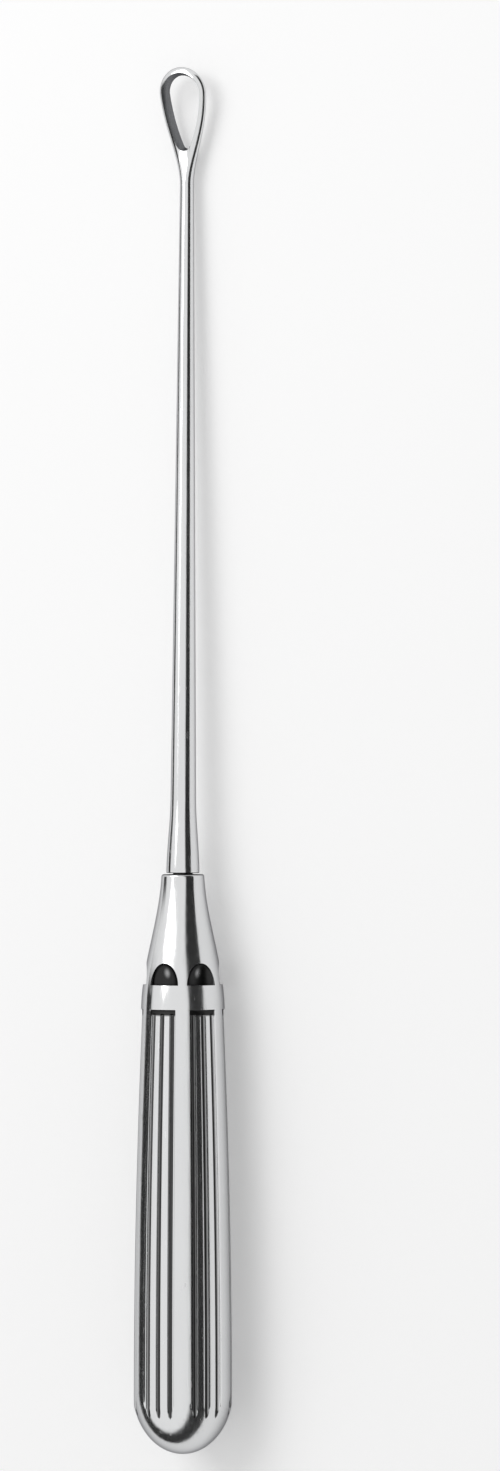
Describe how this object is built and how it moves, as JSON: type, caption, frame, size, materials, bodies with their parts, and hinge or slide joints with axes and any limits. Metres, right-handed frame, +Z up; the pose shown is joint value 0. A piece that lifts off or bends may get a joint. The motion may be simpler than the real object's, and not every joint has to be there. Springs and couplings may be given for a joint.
{
  "type": "uterine curette",
  "caption": "Sharp uterine curette with an open teardrop loop on a long tapered shaft and a fluted hollow handle.",
  "frame": {"origin": "centre of the bounding box's base, on the table that the curette lies on", "axes": "+Y along the instrument towards the loop, +Z up, out of the cutting side of the loop"},
  "size_m": [0.0226, 0.3096, 0.0226],
  "materials": {
    "grip_steel": "satin, dull in the grooves",
    "forged_steel": "polished, with a ground edge"
  },
  "bodies": {
    "root": {"fluted_handle": "grip_steel", "loop_shaft": "forged_steel"}
  },
  "joints": []
}
